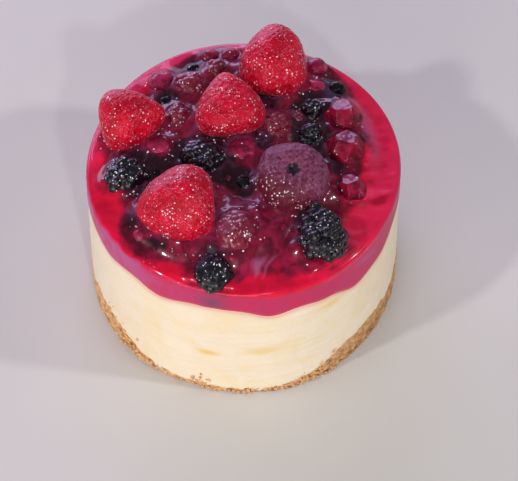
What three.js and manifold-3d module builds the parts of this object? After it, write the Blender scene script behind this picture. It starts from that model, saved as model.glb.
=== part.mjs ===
// A small round berry cheesecake: a crumb base, a layer of cheese cream, a layer of red berry jelly, and
// whole fruit half sunk in the jelly. Brambles are the black fruit made of drupelets.
//
// Millimetres, +Z up. The origin is the centre of the underside, and the front of the cake faces -Y.
// Angles are in degrees, counter-clockwise from +X as seen from above.

import * as THREE from "three";
import { mergeVertices } from "three/addons/utils/BufferGeometryUtils.js";
import Module from "manifold-3d";

const wasm = await Module();
wasm.setup();

// ---------------------------------------------------------------- driving dimensions

const CAKE_RADIUS = 50;
const CAKE_HEIGHT = 56; // the jelly's rim above the underside
const FOOT_FLARE = 0.7; // the side spreads by this much at the foot
const FOOT_BEVEL = 0.6;
const RIM_ROUNDING = 1.6;
const CRUMB_THICKNESS = 10.5;
const CRUMB_FOOT = 1.4; // what still shows of the crumb where cream has run down over it
const CREAM_RUN = { middle: -99, full: 23, end: 54 }; // where it has: an angle, and how far to each side
const JELLY_THICKNESS = { inside: 12.6, side: 9.6 }; // at the side it is thicker where a drop hangs down
const LEVEL_INSIDE = { crumb: 6, cream: 12 }; // this far in from the side, a layer's top is level
const PILE_HEIGHT = 2.4; // the jelly stands this much higher among the fruit than at the rim
const PILE_REACH = 5.5;
const FOOTPRINT = 0.42; // the pile starts at this share of a fruit's width from its middle
const RIM_MARGIN = [1, 9]; // the pile fades out between these distances from the side
const GAP = 0.3; // between one piece and the next
const SOCKET = { detail: 1, spare: 0.045 }; // spare is a share of the fruit's width
const PLAIN_SOCKET = { detail: 0, spare: 0.13 };
const SMALL_FRUIT = 7.6; // fruit of less width has a plain socket in the jelly
const SECTORS = 40;
const TOP_ROWS = [0.92, 0.81, 0.66, 0.44, 0]; // where the top of the jelly bends, as shares of the radius

// What is uneven on the way round: the side and the upper edge of the crumb.
const SIDE_WAVES = [{ size: 0.3, crests: 4, peak: 20 }];
const CRUMB_WAVES = [{ size: 0.7, crests: 9, peak: -40 }, { size: 0.5, crests: 17, peak: 10 }];

// Where the jelly hangs lower down the side: the angle, the half width in degrees and the extra depth.
const JELLY_DROPS = [
  [-148, 9, 2.2], [-123, 9, 3], [-80, 8, 3.6], [-62, 9, 2.6], [-46, 9, 6.6], [-30, 11, 5.6],
  [15, 20, 2], [60, 15, 4], [100, 12, 3], [140, 18, 4], [175, 9, 2],
];

// ---------------------------------------------------------------- small helpers

const radians = THREE.MathUtils.degToRad;
const { smoothstep, lerp } = THREE.MathUtils;

// The sum of waves at an angle.
const swing = (waves, angle) =>
  waves.reduce((sum, { size, crests, peak }) => sum + size * Math.cos(crests * radians(angle - peak)), 0);

// A bell curve, 1 at 0 and about a third at 1.
const bell = (x) => Math.exp(-(x ** 2));

// How far angle is from centre, from 0 to 180.
const turnFrom = (angle, centre) => Math.abs(((((angle - centre + 180) % 360) + 360) % 360) - 180);

// A share from 0 to 1 that looks like chance and is always the same for the same number.
function chance(number) {
  const s = Math.sin(number * 12.9898) * 43758.5453;
  return s - Math.floor(s);
}

// Points spread evenly over a unit sphere on a spiral, from the +Z pole to the -Z pole.
function spiral(count) {
  const golden = Math.PI * (3 - Math.sqrt(5));
  return Array.from({ length: count }, (_, i) => {
    const z = 1 - (2 * i + 1) / count;
    const r = Math.sqrt(1 - z * z);
    return new THREE.Vector3(r * Math.cos(golden * i), r * Math.sin(golden * i), z);
  });
}

// A unit direction from its heading, seen from above, and its tilt above the level.
const direction = (heading, tilt) =>
  new THREE.Vector3(
    Math.cos(radians(tilt)) * Math.cos(radians(heading)),
    Math.cos(radians(tilt)) * Math.sin(radians(heading)),
    Math.sin(radians(tilt)),
  );

function solidOf(geometry) {
  const bare = geometry.clone();
  bare.deleteAttribute("normal");
  bare.deleteAttribute("uv");
  const merged = mergeVertices(bare, 1e-3);
  return new wasm.Manifold(
    new wasm.Mesh({
      numProp: 3,
      vertProperties: new Float32Array(merged.attributes.position.array),
      triVerts: new Uint32Array(merged.index.array),
    }),
  );
}

function geometryOf(solid) {
  const mesh = solid.getMesh();
  const geometry = new THREE.BufferGeometry();
  geometry.setAttribute("position", new THREE.BufferAttribute(mesh.vertProperties, 3));
  geometry.setIndex(new THREE.BufferAttribute(mesh.triVerts, 1));
  geometry.computeVertexNormals();
  return geometry;
}

// The largest body of a solid. A scrap that a cut leaves loose is dropped.
function mainBody(solid) {
  return solid.decompose().reduce((a, b) => (b.volume() > a.volume() ? b : a));
}

// ---------------------------------------------------------------- materials

const finish = (color, roughness) => new THREE.MeshStandardMaterial({ color, roughness, metalness: 0 });

const CRUMB = finish("#b27d4a", 0.9);
const CREAM = finish("#f3e6cf", 0.6);
const JELLY = finish("#c2123f", 0.1);
const BRIGHT_RED = finish("#d61f33", 0.3);
const WINE = finish("#6f2144", 0.35);
const BLACK = finish("#17111c", 0.2);
const DARK_RED = finish("#8a1a3c", 0.2);

// ---------------------------------------------------------------- fruit shapes

const HULL_DENT = { depth: 0.1, radius: 0.22 }; // shares of a strawberry's length and width
const DRUPELET_RADIUS = 0.62; // a share of the width of a drupelet as it shows: they are pressed together
const DRUPELET_COVER = 2.3; // how many drupelets go round a fruit: this, times its area over a drupelet's
const SUNK_DRUPELET = 0.88; // the least share of its height that a drupelet has
const CORE = 0.35; // the fruit under the drupelets, as a share of the width

// The pressed sides of a cherry: the heading and tilt that each faces, and how far out it is as a share of
// the radius. The first is the broad one on top, which leans back.
const FLATS = [
  [95, 70, 0.78], [-80, 52, 0.82], [-22, 34, 0.84], [32, 30, 0.82], [84, 12, 0.86], [150, 28, 0.84],
  [-152, 32, 0.82], [-100, 8, 0.88],
];

// A shape is a function from a unit direction to a point of the skin, with +Z towards the tip of the fruit.
// grow moves the skin outwards.

// An egg that narrows to the tip and may be flattened.
const eggShape = ({ width, length, flat, taper }) => (d, grow) => {
  const across = (width / 2) * (1 - taper * d.z);
  return new THREE.Vector3(d.x * (across + grow), d.y * (flat * across + grow), d.z * (length / 2 + grow));
};

// An egg with a dent at the hull end.
const strawberryShape = (size) => (d, grow) => {
  const p = eggShape(size)(d, grow);
  const fromAxis = Math.hypot(p.x, p.y) / (HULL_DENT.radius * size.width);
  if (d.z < 0) p.z += HULL_DENT.depth * size.length * bell(fromAxis);
  return p;
};

// Many small balls, the drupelets, on a spiral round an egg. The skin is where a ray from the middle of the
// fruit leaves the last ball.
function drupeletShape({ width, length, taper, drupelet }) {
  const count = Math.round((DRUPELET_COVER * width * length) / drupelet ** 2);
  const radius = DRUPELET_RADIUS * drupelet;
  const middles = eggShape({ width: width - 2 * radius, length: length - 2 * radius, flat: 1, taper });
  const balls = spiral(count).map((d, i) => middles(d, 0).multiplyScalar(lerp(SUNK_DRUPELET, 1, chance(i))));
  return (d, grow) => {
    const reaches = balls.map((ball) => {
      const along = ball.dot(d);
      const square = radius ** 2 - ball.lengthSq() + along ** 2;
      return square > 0 ? along + Math.sqrt(square) : 0;
    });
    return d.clone().multiplyScalar(Math.max(CORE * width, ...reaches) + grow);
  };
}

// A soft ball pressed flat on a few sides. turn is how far they are turned about the vertical.
function cherryShape(size) {
  const flats = FLATS.map(([heading, tilt, reach]) => {
    return { normal: direction(heading + size.turn, tilt), reach };
  });
  return (d, grow) => {
    const reaches = flats.map(({ normal, reach }) => (normal.dot(d) > 0 ? reach / normal.dot(d) : 1));
    return eggShape(size)(d, 0).multiplyScalar(Math.min(1, ...reaches)).addScaledVector(d, grow);
  };
}

// A ball of triangles moved out to the skin. detail sets their number: 20 times (detail + 1) squared.
function fruitGeometry(shape, detail, grow = 0) {
  const geometry = new THREE.IcosahedronGeometry(1, detail);
  const points = geometry.getAttribute("position");
  const d = new THREE.Vector3();
  for (let i = 0; i < points.count; i++) {
    d.fromBufferAttribute(points, i).normalize();
    points.setXYZ(i, ...shape(d, grow).toArray());
  }
  geometry.computeVertexNormals();
  return geometry;
}

// ---------------------------------------------------------------- the fruit on this cake

// x and y are the middle seen from above, and lift is its height above the rim. heading is the way that the
// tip points, and tilt is how far it is raised. Larger fruit comes first, because what comes later is pressed
// by it.
const kindOf = (kind, shapeOf, detail, material, usual) => (place, x, y, size) => ({
  name: `${kind}_${place}`,
  at: new THREE.Vector2(x, y),
  detail,
  material,
  shapeOf,
  size: { lift: 2, heading: 90, tilt: 50, length: 0.94 * size.width, flat: 1, ...usual, ...size },
});

const strawberry = kindOf("strawberry", strawberryShape, 3, BRIGHT_RED, { tilt: 0, taper: 0.28 });
const darkStrawberry = kindOf("strawberry", strawberryShape, 2, WINE, { taper: 0.15 });
const bramble = kindOf("bramble", drupeletShape, 4, BLACK, { taper: 0.12, drupelet: 4.2 });
const smallBramble = kindOf("bramble", drupeletShape, 2, BLACK, { taper: 0.12, drupelet: 3.2 });
const raspberry = kindOf("raspberry", drupeletShape, 2, DARK_RED, { taper: 0.15, drupelet: 3.4 });
const redCurrant = kindOf("red_currant", eggShape, 1, DARK_RED, { taper: 0 });
const blackCurrant = kindOf("black_currant", eggShape, 1, BLACK, { taper: 0 });
const cherry = kindOf("cherry", cherryShape, 2, DARK_RED, { tilt: 90, taper: 0 });

const FRUIT = [
  strawberry("back", 10, 34.4, { lift: 8, heading: 80, tilt: 30, width: 21.5, length: 25.5, taper: 0.15 }),
  strawberry("middle", -4.5, 17.5, { lift: 8, heading: 100, tilt: 38, width: 21, length: 21.5, taper: 0.45 }),
  strawberry("left", -35.3, 13, { lift: 7, heading: 5, tilt: 12, width: 19.5, length: 22, taper: 0.42 }),
  strawberry("front", -20.5, -20.7, { lift: 6, heading: 186, width: 26, length: 25.5, flat: 0.95 }),
  darkStrawberry("dark", 15.4, -11.2, { lift: 6.5, heading: 85, tilt: -77, width: 22.6, length: 22 }),
  bramble("left", -36.8, -6.6, { lift: 3, heading: 200, tilt: 5, width: 14, length: 15 }),
  bramble("middle", -13, -0.5, { lift: 3, heading: 170, tilt: 10, width: 13, length: 16 }),
  bramble("right", 24.2, -31, { lift: 5, heading: 100, tilt: 12, width: 16, length: 20, drupelet: 4.6 }),
  bramble("rim", -9.3, -42.2, { lift: 0.3, heading: -60, tilt: 35, width: 13.5, length: 13 }),
  raspberry("front", -2.2, -29.5, { lift: 2, heading: 250, tilt: 30, width: 16.5, length: 18 }),
  cherry("back", 31.8, 16, { lift: 3.2, width: 12.8, length: 12, turn: 0 }),
  cherry("right", 32.3, 3, { lift: 3.5, width: 13, length: 12.5, turn: -28 }),
  cherry("front", 33.6, -12, { lift: 2.2, width: 10.5, length: 11.5, turn: 14 }),
  smallBramble("back", 22, 18.5, { lift: 3, width: 8, length: 9 }),
  smallBramble("near_cherry", 21.3, 8, { lift: 3, width: 8.5, length: 9.5 }),
  raspberry("middle", 10.5, 11.5, { lift: 3.5, heading: 60, width: 10.5, length: 11.5 }),
  raspberry("left", -21, 16, { lift: 2.5, heading: 100, width: 10.5, length: 11 }),
  raspberry("back", -17.2, 28.5, { lift: 2.5, heading: 160, width: 11, length: 12 }),
  raspberry("shaded", 13.5, 22.5, { lift: 1.5, heading: 20, width: 8, length: 8.5, drupelet: 2.9 }),
  raspberry("purple", 17.3, 15.3, { lift: 2.5, heading: 20, width: 5.5, length: 6, drupelet: 2.4 }),
  raspberry("far", -8.5, 36.3, { lift: 2, heading: 30, width: 8.5, length: 9, drupelet: 2.8 }),
  redCurrant("left", -26.5, 4.5, { width: 10.5 }),
  redCurrant("middle", -0.5, 2.5, { width: 10.5 }),
  redCurrant("back_left", -26.2, 31, { width: 9 }),
  redCurrant("far_left", -10.5, 42.6, { lift: 1, width: 6 }),
  redCurrant("far_right", -4, 42.8, { lift: 1, width: 6.5 }),
  redCurrant("back_right", 23.8, 37.2, { lift: 2, width: 7 }),
  redCurrant("glazed", 23, 28.5, { heading: -20, tilt: 5, width: 6.5, length: 9 }),
  redCurrant("ridge", -15.2, 9.6, { width: 5 }),
  redCurrant("centre", -5.5, -7.5, { lift: 0.5, width: 7 }),
  redCurrant("front", 12, -26.5, { lift: 0, width: 9.5 }),
  redCurrant("low", 2.8, -18.3, { lift: 0, width: 7 }),
  redCurrant("edge", -32, -27.5, { lift: 0, width: 6 }),
  blackCurrant("left", -28.3, -5.7, { lift: 0.5, width: 7 }),
  blackCurrant("front", 0.5, -10, { width: 6.5 }),
  blackCurrant("back", 30, 28, { width: 6 }),
  blackCurrant("shaded", 7.3, 22.8, { width: 4.5 }),
  blackCurrant("middle", 5.8, 6, { width: 4.5 }),
  blackCurrant("back_left", -24.6, 23, { width: 5.5 }),
  blackCurrant("far", -16, 37.5, { lift: 1, width: 4.5 }),
  blackCurrant("edge", -34.5, -22, { lift: 0.5, width: 5 }),
  blackCurrant("edge_low", -26, -32, { lift: -0.5, width: 5.5 }),
  blackCurrant("right", 28, -3.8, { lift: 1, width: 5 }),
];

// A fruit's mesh, where it lies. Its points stay in the fruit's own frame.
function fruitMesh({ name, at, detail, material, shapeOf, size }) {
  const mesh = new THREE.Mesh(fruitGeometry(shapeOf(size), detail), material);
  mesh.name = name;
  mesh.position.set(at.x, at.y, CAKE_HEIGHT + size.lift);
  mesh.quaternion.setFromUnitVectors(new THREE.Vector3(0, 0, 1), direction(size.heading, size.tilt));
  mesh.updateMatrix();
  return mesh;
}

// A solid of a fruit's shape, grown by a margin, in the cake's frame, to cut its neighbours with.
const cutter = (shape, detail, grow, mesh) =>
  solidOf(fruitGeometry(shape, detail, grow).applyMatrix4(mesh.matrix));

// Presses the fruit that comes later against what comes before it, wherever the two would cross.
function fruitMeshes() {
  const meshes = FRUIT.map(fruitMesh);
  const grown = FRUIT.map(({ shapeOf, size, detail }, i) => cutter(shapeOf(size), detail, GAP, meshes[i]));
  meshes.forEach((mesh, i) => {
    const whole = solidOf(mesh.geometry.clone().applyMatrix4(mesh.matrix));
    const cut = whole.subtract(wasm.Manifold.union(grown.slice(0, i)));
    if (cut.volume() < whole.volume() - 1e-6) {
      mesh.geometry = geometryOf(mainBody(cut)).applyMatrix4(mesh.matrix.clone().invert());
    }
  });
  return meshes;
}

// ---------------------------------------------------------------- layers of the cake

// A closed solid turned about the Z axis, whose outline may change on the way round. outline(angle) lists the
// radius and height of its points, from the axis underneath to the axis on top.
function turned(outline) {
  const profile = outline(0).map(([r, z]) => new THREE.Vector2(r, z));
  const geometry = new THREE.LatheGeometry(profile, SECTORS);
  const points = geometry.getAttribute("position");
  for (let i = 0; i <= SECTORS; i++) {
    const angle = (360 * (i % SECTORS)) / SECTORS;
    outline(angle).forEach(([r, z], j) => {
      points.setXYZ(i * profile.length + j, r * Math.cos(radians(angle)), r * Math.sin(radians(angle)), z);
    });
  }
  return solidOf(geometry);
}

// The top of the crumb. It is level inside, and at the side it drops where cream has run down over it.
function crumbTop(r, angle) {
  const shown = smoothstep(turnFrom(angle, CREAM_RUN.middle), CREAM_RUN.full, CREAM_RUN.end);
  const edge = lerp(CRUMB_FOOT, CRUMB_THICKNESS + swing(CRUMB_WAVES, angle), shown);
  return lerp(CRUMB_THICKNESS, edge, smoothstep(r, CAKE_RADIUS - LEVEL_INSIDE.crumb, CAKE_RADIUS - 1));
}

// The top of the cream. It is level inside, and at the side the jelly hangs over it in broad drops.
function creamTop(r, angle) {
  const outer = smoothstep(r, CAKE_RADIUS - LEVEL_INSIDE.cream, CAKE_RADIUS - 1);
  const dropAt = ([at, wide, deep]) => deep * bell(turnFrom(angle, at) / wide);
  const drops = JELLY_DROPS.reduce((sum, drop) => sum + dropAt(drop), 0);
  return CAKE_HEIGHT - lerp(JELLY_THICKNESS.inside, JELLY_THICKNESS.side + drops, outer);
}

// The top of the jelly, piled up a little where fruit is close. Each fruit leaves a share of the pile free,
// and the shares are multiplied, so that the pile is smooth between them.
function jellyTop(r, angle) {
  const here = new THREE.Vector2(r * Math.cos(radians(angle)), r * Math.sin(radians(angle)));
  const free = FRUIT.reduce((share, { at, size }) => {
    const beyond = Math.max(0, here.distanceTo(at) - FOOTPRINT * size.width);
    return share * (1 - bell(beyond / PILE_REACH));
  }, 1);
  return CAKE_HEIGHT + PILE_HEIGHT * (1 - free) * smoothstep(CAKE_RADIUS - r, ...RIM_MARGIN);
}

// The whole cake without its fruit. The side spreads to the foot, and the rim is rounded.
function bodySolid() {
  return turned((angle) => {
    const side = CAKE_RADIUS - 0.3 + swing(SIDE_WAVES, angle);
    const foot = side + FOOT_FLARE;
    const rim = [0, 45, 80].map((turn) => [
      side - RIM_ROUNDING * (1 - Math.cos(radians(turn))),
      CAKE_HEIGHT - RIM_ROUNDING * (1 - Math.sin(radians(turn))),
    ]);
    const top = TOP_ROWS.map((share) => [share * CAKE_RADIUS, jellyTop(share * CAKE_RADIUS, angle)]);
    return [[0, 0], [foot - FOOT_BEVEL, 0], [foot, FOOT_BEVEL], ...rim, ...top];
  });
}

// All that is under a layer's top, out past the side of the cake.
function under(top, levelInside, raised = 0) {
  const [inner, out] = [CAKE_RADIUS - levelInside, CAKE_RADIUS + 2];
  const radii = [out, lerp(CAKE_RADIUS, inner, 0.2), lerp(CAKE_RADIUS, inner, 0.6), inner, 0];
  return turned((angle) => [[0, -1], [out, -1], ...radii.map((r) => [r, top(r, angle) + raised])]);
}

// The jelly's sockets, one for each fruit. A socket is an egg of few faces, so it is wider than its fruit by
// a share that keeps its faces clear of the fruit.
function socketSolid(meshes) {
  const sockets = FRUIT.map(({ size }, i) => {
    const { detail, spare } = size.width < SMALL_FRUIT ? PLAIN_SOCKET : SOCKET;
    return cutter(eggShape(size), detail, GAP + spare * size.width, meshes[i]);
  });
  return wasm.Manifold.union(sockets);
}

// ---------------------------------------------------------------- the cake

function layer(name, solid, material) {
  const mesh = new THREE.Mesh(geometryOf(mainBody(solid)), material);
  mesh.name = name;
  return mesh;
}

const fruit = fruitMeshes();
const body = bodySolid();
const crumb = body.intersect(under(crumbTop, LEVEL_INSIDE.crumb));
const cream = body
  .intersect(under(creamTop, LEVEL_INSIDE.cream))
  .subtract(under(crumbTop, LEVEL_INSIDE.crumb, GAP));
const jelly = body.subtract(under(creamTop, LEVEL_INSIDE.cream, GAP)).subtract(socketSolid(fruit));

const cake = new THREE.Group();
cake.add(layer("crumb_base", crumb, CRUMB));
cake.add(layer("cheese_cream", cream, CREAM));
cake.add(layer("berry_jelly", jelly, JELLY));
cake.add(...fruit);

export default cake;
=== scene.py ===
"""The looks of a small round berry cheesecake, built over its solids.

The cake is a baked crumb base, a tall layer of set cheese cream, and a layer of red berry jelly with whole
berries half sunk in it. Shapes are worked out in millimetres, with +Z up and the front of the cake at -Y, and
turned to metres when a mesh is made. Every shape is a closed skin: a grid of points that runs from a first
point on an axis, round and along it, to a last point.
"""

import math

import bpy
import numpy as np
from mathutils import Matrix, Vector


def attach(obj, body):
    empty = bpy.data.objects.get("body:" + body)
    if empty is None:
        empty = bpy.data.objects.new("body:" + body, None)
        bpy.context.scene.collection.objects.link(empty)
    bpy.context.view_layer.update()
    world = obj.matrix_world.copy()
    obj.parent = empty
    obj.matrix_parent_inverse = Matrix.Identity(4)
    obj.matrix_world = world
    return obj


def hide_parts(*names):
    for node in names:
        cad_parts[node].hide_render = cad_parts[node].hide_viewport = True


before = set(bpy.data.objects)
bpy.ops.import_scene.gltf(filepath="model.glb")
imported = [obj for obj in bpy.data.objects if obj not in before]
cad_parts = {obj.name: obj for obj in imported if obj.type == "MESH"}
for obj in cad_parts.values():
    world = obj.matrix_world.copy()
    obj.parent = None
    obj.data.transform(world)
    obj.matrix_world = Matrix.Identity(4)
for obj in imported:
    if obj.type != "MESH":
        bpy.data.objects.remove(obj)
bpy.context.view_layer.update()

MM = 0.001

# ------------------------------------------------------------------ the cake's dimensions, in millimetres

CAKE_RADIUS = 50.0
CAKE_HEIGHT = 56.0
FOOT_FLARE = 0.7
RIM_ROUNDING = 1.6
CRUMB_THICKNESS = 10.5
CRUMB_FOOT = 1.4
CREAM_RUN = {"middle": -99.0, "full": 23.0, "end": 54.0}
JELLY_THICKNESS = {"inside": 12.6, "side": 9.6}
PILE_HEIGHT = 2.4
PILE_REACH = 5.5
SIDE_WAVES = [(0.3, 4, 20.0)]
CRUMB_WAVES = [(0.7, 9, -40.0), (0.5, 17, 10.0)]

# where the jelly hangs lower down the side: the angle, the half width in degrees and the extra depth
JELLY_DROPS = [
    (-148, 9, 2.2), (-123, 9, 3.0), (-80, 8, 3.6), (-62, 9, 2.6), (-46, 9, 6.6), (-30, 11, 5.6),
    (15, 20, 2.0), (60, 15, 4.0), (100, 12, 3.0), (140, 18, 4.0), (175, 9, 2.0),
]

# ------------------------------------------------------------------ the berries

# place is the middle of the berry: x, y and its height above the jelly's rim. size is the width and the
# length. heading is the way that the tip points, seen from above, and tilt is how far the tip is raised.
# taper is how much narrower the tip is, flat the share of the width that is left one way across, drupelet the
# spacing of the drupelets, and film how far juice fills their clefts, from 0 to 1.

CURRANT_LENGTH = 0.94  # as a share of the width
TAPERS = {"bramble": 0.12, "raspberry": 0.15}


class Berry:
    """A berry of the table below, and the frame of its own in which its egg lies along Z."""

    def __init__(self, name, kind, place, size, heading=90.0, tilt=50.0, taper=0.0, flat=1.0, drupelet=3.3,
                 film=0.0, seed=0):
        self.name = name
        self.kind = kind
        self.middle = np.array([place[0], place[1], CAKE_HEIGHT + place[2]])
        self.width = size[0]
        self.length = size[1] if len(size) > 1 else CURRANT_LENGTH * size[0]
        self.taper = TAPERS.get(kind, taper)
        self.flat = flat
        self.drupelet = drupelet
        self.film = film
        self.heading = heading
        self.seed = seed
        turn, rise = math.radians(heading), math.radians(tilt)
        tip = Vector((math.cos(rise) * math.cos(turn), math.cos(rise) * math.sin(turn), math.sin(rise)))
        self.turn = np.array(Vector((0, 0, 1)).rotation_difference(tip).to_matrix())

    def in_cake(self, points):
        """Points of the berry's own frame, in the cake's frame: turned, then moved to the berry's middle."""
        return points @ self.turn.T + self.middle

    def in_berry(self, points):
        """Points of the cake's frame, in the berry's own frame."""
        return (points - self.middle) @ self.turn

    def outside(self, points):
        """About how far points are outside the berry's egg, in millimetres, and less than 0 within it: the
        share of the way out to the skin, less 1, times the berry's smaller radius."""
        q = self.in_berry(points)
        along = q[..., 2] / (self.length / 2)
        across = (self.width / 2) * (1 - self.taper * np.clip(along, -1, 1))
        share = np.sqrt((q[..., 0] / across) ** 2 + (q[..., 1] / (self.flat * across)) ** 2 + along**2)
        return (share - 1) * min(self.width, self.length) / 2


BERRIES = [
    Berry("strawberry_back", "strawberry", (10, 34.4, 8), (21.5, 25.5), 80, 30, 0.15, seed=1),
    Berry("strawberry_middle", "strawberry", (-4.5, 17.5, 8), (21, 21.5), 100, 38, 0.45, seed=2),
    Berry("strawberry_left", "strawberry", (-35.3, 13, 7), (19.5, 22), 5, 12, 0.42, seed=3),
    Berry("strawberry_front", "strawberry", (-20.5, -20.7, 6), (26, 25.5), 186, 0, 0.28, 0.95, seed=4),
    Berry("strawberry_dark", "dark strawberry", (15.4, -11.2, 6.5), (22.6, 22), 85, -77, 0.15, seed=5),
    Berry("bramble_left", "bramble", (-36.8, -6.6, 3), (14, 15), 200, 5, film=0.5, seed=6),
    Berry("bramble_middle", "bramble", (-13, -0.5, 3), (13, 16), 170, 10, film=0.4, seed=7),
    Berry("bramble_right", "bramble", (24.2, -31, 5), (16, 20), 100, 12, drupelet=3.2, seed=8),
    Berry("bramble_rim", "bramble", (-9.3, -42.2, 0.3), (13.5, 13), -60, 35, film=0.82, seed=9),
    Berry("raspberry_front", "raspberry", (-2.2, -29.5, 2), (16.5, 18), 250, 30,
          drupelet=2.8, film=0.85, seed=10),
    Berry("cherry_back", "cherry", (31.8, 16, 3.2), (12.8, 12), 0, 90, seed=3),
    Berry("cherry_right", "cherry", (32.3, 3, 3.5), (13, 12.5), -28, 90, seed=11),
    Berry("cherry_front", "cherry", (33.6, -12, 2.2), (10.5, 11.5), 14, 90, seed=29),
    Berry("bramble_back", "bramble", (22, 18.5, 3), (8, 9), drupelet=2.8, seed=12),
    Berry("bramble_near_cherry", "bramble", (21.3, 8, 3), (8.5, 9.5), drupelet=2.8, seed=13),
    Berry("raspberry_middle", "raspberry", (10.5, 11.5, 3.5), (10.5, 11.5), 60,
          drupelet=2.6, film=0.5, seed=14),
    Berry("raspberry_left", "raspberry", (-21, 16, 2.5), (10.5, 11), 100, drupelet=2.6, film=0.5, seed=15),
    Berry("raspberry_back", "raspberry", (-17.2, 28.5, 2.5), (11, 12), 160, drupelet=2.6, film=0.6, seed=16),
    Berry("raspberry_shaded", "raspberry", (13.5, 22.5, 1.5), (8, 8.5), 20, drupelet=2.4, film=0.6, seed=17),
    Berry("raspberry_purple", "raspberry", (17.3, 15.3, 2.5), (5.5, 6), 20, drupelet=2.2, seed=18),
    Berry("raspberry_far", "raspberry", (-8.5, 36.3, 2), (8.5, 9), 30, drupelet=2.4, film=0.6, seed=19),
    Berry("red_currant_left", "red currant", (-26.5, 4.5, 2), (10.5,), seed=20),
    Berry("red_currant_middle", "red currant", (-0.5, 2.5, 2), (10.5,), seed=21),
    Berry("red_currant_back_left", "red currant", (-26.2, 31, 2), (9,), seed=22),
    Berry("red_currant_far_left", "red currant", (-10.5, 42.6, 1), (6,), seed=23),
    Berry("red_currant_far_right", "red currant", (-4, 42.8, 1), (6.5,), seed=24),
    Berry("red_currant_back_right", "red currant", (23.8, 37.2, 2), (7,), seed=25),
    Berry("red_currant_glazed", "red currant", (23, 28.5, 2), (6.5, 9), -20, 5, seed=26),
    Berry("red_currant_ridge", "red currant", (-15.2, 9.6, 2), (5,), seed=27),
    Berry("red_currant_centre", "red currant", (-5.5, -7.5, 0.5), (7,), seed=28),
    Berry("red_currant_front", "red currant", (12, -26.5, 0), (9.5,), seed=29),
    Berry("red_currant_low", "red currant", (2.8, -18.3, 0), (7,), seed=30),
    Berry("red_currant_edge", "red currant", (-32, -27.5, 0), (6,), seed=31),
    Berry("black_currant_left", "black currant", (-28.3, -5.7, 0.5), (7,), seed=32),
    Berry("black_currant_front", "black currant", (0.5, -10, 2), (6.5,), seed=33),
    Berry("black_currant_back", "black currant", (30, 28, 2), (6,), seed=34),
    Berry("black_currant_shaded", "black currant", (7.3, 22.8, 2), (4.5,), seed=35),
    Berry("black_currant_middle", "black currant", (5.8, 6, 2), (4.5,), seed=36),
    Berry("black_currant_back_left", "black currant", (-24.6, 23, 2), (5.5,), seed=37),
    Berry("black_currant_far", "black currant", (-16, 37.5, 1), (4.5,), seed=38),
    Berry("black_currant_edge", "black currant", (-34.5, -22, 0.5), (5,), seed=39),
    Berry("black_currant_edge_low", "black currant", (-26, -32, -0.5), (5.5,), seed=40),
    Berry("black_currant_right", "black currant", (28, -3.8, 1), (5,), seed=41),
]

# ------------------------------------------------------------------ the camera

CAMERA_DISTANCE = 850.0  # from the cake's axis, at the height of the aim
CAMERA_RISE = 54.8  # degrees above the table
AIM = Vector((4.8, -8.0, 25.0))
LENS_MM = 180.7


def set_camera():
    """A long lens high in front of the cake, aimed at a point near the middle."""
    rise = math.radians(CAMERA_RISE)
    data = bpy.data.cameras.new("camera")
    data.lens = LENS_MM
    data.sensor_width = 36.0
    data.clip_end = 20.0
    camera = bpy.data.objects.new("camera", data)
    bpy.context.scene.collection.objects.link(camera)
    stand = Vector((0, -math.cos(rise), math.sin(rise))) * CAMERA_DISTANCE + Vector((0, 0, AIM.z))
    camera.location = stand * MM
    camera.rotation_euler = (AIM - stand).to_track_quat("-Z", "Y").to_euler()
    bpy.context.scene.camera = camera


# ------------------------------------------------------------------ arithmetic on arrays of points


def smoothstep(value, low, high):
    """0 below low, 1 above high, and an S-shaped rise between them."""
    t = np.clip((value - low) / (high - low), 0, 1)
    return t * t * (3 - 2 * t)


def mix(a, b, share):
    """The number that lies a share of the way from a to b."""
    return a + (b - a) * share


def bell(value):
    """A bell curve: 1 at 0, and about a third at 1."""
    return np.exp(-(value**2))


def swing(waves, angle):
    """The sum of waves round the cake. Each is its size, its number of crests, and the angle of one crest."""
    return sum(size * np.cos(crests * np.radians(angle - peak)) for size, crests, peak in waves)


def turn_from(angle, centre):
    """How far an angle is from centre, from 0 to 180."""
    return np.abs((angle - centre + 180) % 360 - 180)


def close_to(angle, centre, wide):
    """A bell curve of how far an angle is from centre, with a half width in degrees."""
    return bell(turn_from(angle, centre) / wide)


def chance(number):
    """A share from 0 to 1 that looks like chance: the fraction of a large multiple of a sine."""
    s = np.sin(np.asarray(number) * 12.9898) * 43758.5453
    return s - np.floor(s)


def ripple(points, size, seed, waves=9):
    """Smooth unevenness from about -1 to 1: the sum of plane sine waves of about one length in many
    directions, over the root of their number, so that more of them don't make it larger."""
    draw = np.random.default_rng(seed)
    ways = draw.normal(size=(waves, 3))
    ways *= (draw.uniform(0.7, 1.4, waves) / np.linalg.norm(ways, axis=1) / size)[:, None]
    phases = draw.uniform(0, 2 * np.pi, waves)
    return np.sin(2 * np.pi * (points @ ways.T) + phases).sum(-1) / math.sqrt(waves) * 0.7


def grains(points, size, seed):
    """Domes packed at random: 1 at the middle of a grain, less by the distance from it, and 0 from size on.
    Space is cut into cubes, each with one grain at a random place in it, and the nearest grain of the 27
    cubes round a point counts."""
    cell = points / size
    corner = np.floor(cell)
    nearest = np.full(points.shape[:-1], 9.0)
    for step in np.ndindex(3, 3, 3):
        cube = corner + np.array(step) - 1
        number = cube @ np.array([127.1, 311.7, 74.7]) + seed
        grain = cube + np.stack([chance(number), chance(number + 11.3), chance(number + 27.9)], -1)
        nearest = np.minimum(nearest, np.linalg.norm(cell - grain, axis=-1))
    return np.clip(1 - nearest, 0, 1)


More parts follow.
